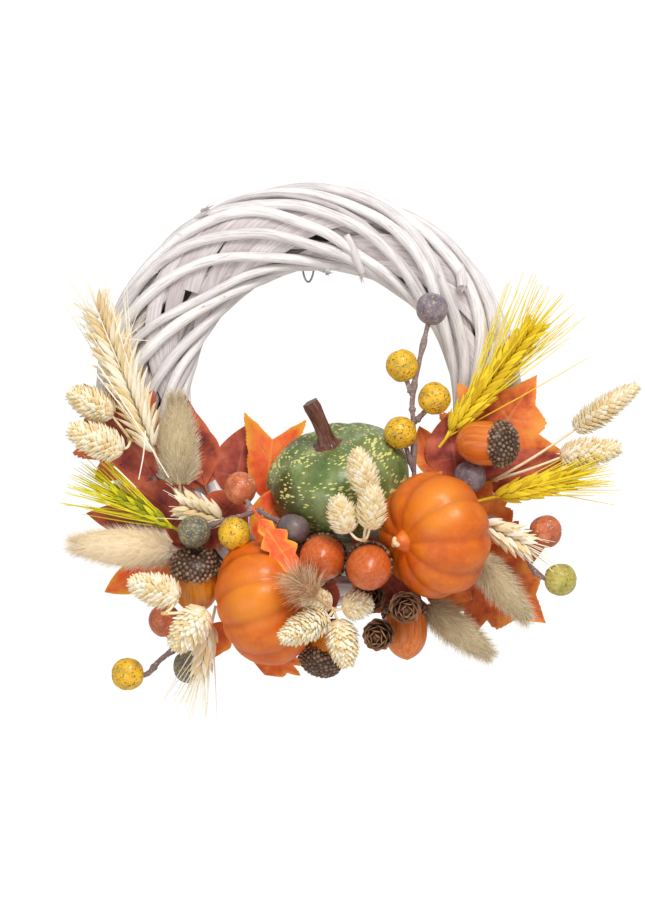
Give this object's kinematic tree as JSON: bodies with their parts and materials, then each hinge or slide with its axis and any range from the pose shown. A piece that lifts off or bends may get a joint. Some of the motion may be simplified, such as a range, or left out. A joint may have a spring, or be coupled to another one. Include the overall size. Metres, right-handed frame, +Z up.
{
  "type": "harvest door wreath",
  "caption": "Round willow ring with a fall decoration of pumpkins, acorns, berries, grasses and leaves on its lower half, hung by a wire loop behind its top.",
  "frame": {"origin": "the hang point: on the plane of the door, level with the axis that the wire loop turns about, behind the top of the ring", "axes": "+Z up, the front faces -Y, +X to the right of someone who looks at the front"},
  "size_m": [0.348, 0.1312, 0.3217],
  "materials": {
    "whitewashed_willow": "matte whitewash over peeled willow",
    "split_willow": "matte whitewash over split willow",
    "galvanised_wire": "dull zinc",
    "green_pumpkin_skin": "satin painted, cream speckles",
    "orange_pumpkin_skin": "satin painted",
    "brown_stalk": "satin painted",
    "painted_acorn": "glossy painted",
    "acorn_cap_beads": "matte beads",
    "larch_cone_scale": "dry woody scales",
    "waxed_berry": "dusty wax bloom",
    "dried_canary_grass": "dry papery glumes",
    "bunny_tail_grey": "soft hairs",
    "bunny_tail_cream": "soft hairs",
    "brown_plume": "soft hairs",
    "dried_wheat": "dry straw",
    "dyed_yellow_wheat": "dyed straw",
    "dyed_green_wheat": "dyed straw",
    "burgundy_fabric_leaf": "printed fabric",
    "orange_fabric_leaf": "printed fabric",
    "red_fabric_leaf": "printed fabric",
    "rust_fabric_leaf": "printed fabric"
  },
  "bodies": {
    "wreath": {"acorn_cap_1": "acorn_cap_beads", "acorn_cap_2": "acorn_cap_beads", "acorn_cap_3": "acorn_cap_beads", "acorn_cap_4": "acorn_cap_beads", "acorn_cap_5": "acorn_cap_beads", "acorn_cap_6": "acorn_cap_beads", "acorn_nut_1": "painted_acorn", "acorn_nut_2": "painted_acorn", "acorn_nut_3": "painted_acorn", "acorn_nut_4": "painted_acorn", "acorn_nut_5": "painted_acorn", "acorn_nut_6": "painted_acorn", "berry_pick_left": "waxed_berry", "berry_pick_lower_left": "waxed_berry", "berry_pick_right": "waxed_berry", "berry_pick_upper": "waxed_berry", "brown_tuft": "brown_plume", "bunny_tail_far_left": "bunny_tail_cream", "bunny_tail_left": "bunny_tail_grey", "bunny_tail_lower_right": "bunny_tail_grey", "bunny_tail_right": "bunny_tail_grey", "canary_grass_bottom": "dried_canary_grass", "canary_grass_centre": "dried_canary_grass", "canary_grass_far_right": "dried_canary_grass", "canary_grass_left": "dried_canary_grass", "canary_grass_lower_left": "dried_canary_grass", "green_pumpkin": "green_pumpkin_skin", "green_pumpkin_stem": "brown_stalk", "larch_cone_1": "larch_cone_scale", "larch_cone_2": "larch_cone_scale", "larch_cone_3": "larch_cone_scale", "leaf_bottom": "rust_fabric_leaf", "leaf_burgundy_left": "burgundy_fabric_leaf", "leaf_burgundy_round": "burgundy_fabric_leaf", "leaf_dark_red": "burgundy_fabric_leaf", "leaf_lower_right": "rust_fabric_leaf", "leaf_maple_right": "rust_fabric_leaf", "leaf_orange_left": "orange_fabric_leaf", "leaf_orange_red": "red_fabric_leaf", "leaf_orange_small": "orange_fabric_leaf", "leaf_red_yellow": "red_fabric_leaf", "orange_pumpkin_left": "orange_pumpkin_skin", "orange_pumpkin_right": "orange_pumpkin_skin", "orange_stub_right": "brown_stalk", "wheat_bottom_cream": "dried_wheat", "wheat_left_cream": "dried_wheat", "wheat_left_green": "dyed_green_wheat", "wheat_left_short": "dried_wheat", "wheat_right_cream": "dried_wheat", "wheat_right_yellow_low": "dyed_yellow_wheat", "wheat_right_yellow_up": "dyed_yellow_wheat", "willow_rod_1": "whitewashed_willow", "willow_rod_2": "whitewashed_willow", "willow_rod_3": "whitewashed_willow", "willow_rod_4": "whitewashed_willow", "willow_strip_1": "split_willow", "willow_strip_2": "split_willow", "willow_strip_3": "split_willow", "wire_tie": "galvanised_wire"},
    "hanger": {"hanging_loop": "galvanised_wire"}
  },
  "joints": [
    {"name": "hanger_swing", "type": "hinge", "parent": "wreath", "child": "hanger", "pos_m": [0, -0.00318, 0], "axis": [1, 0, 0], "range_deg": [0, 165]}
  ]
}
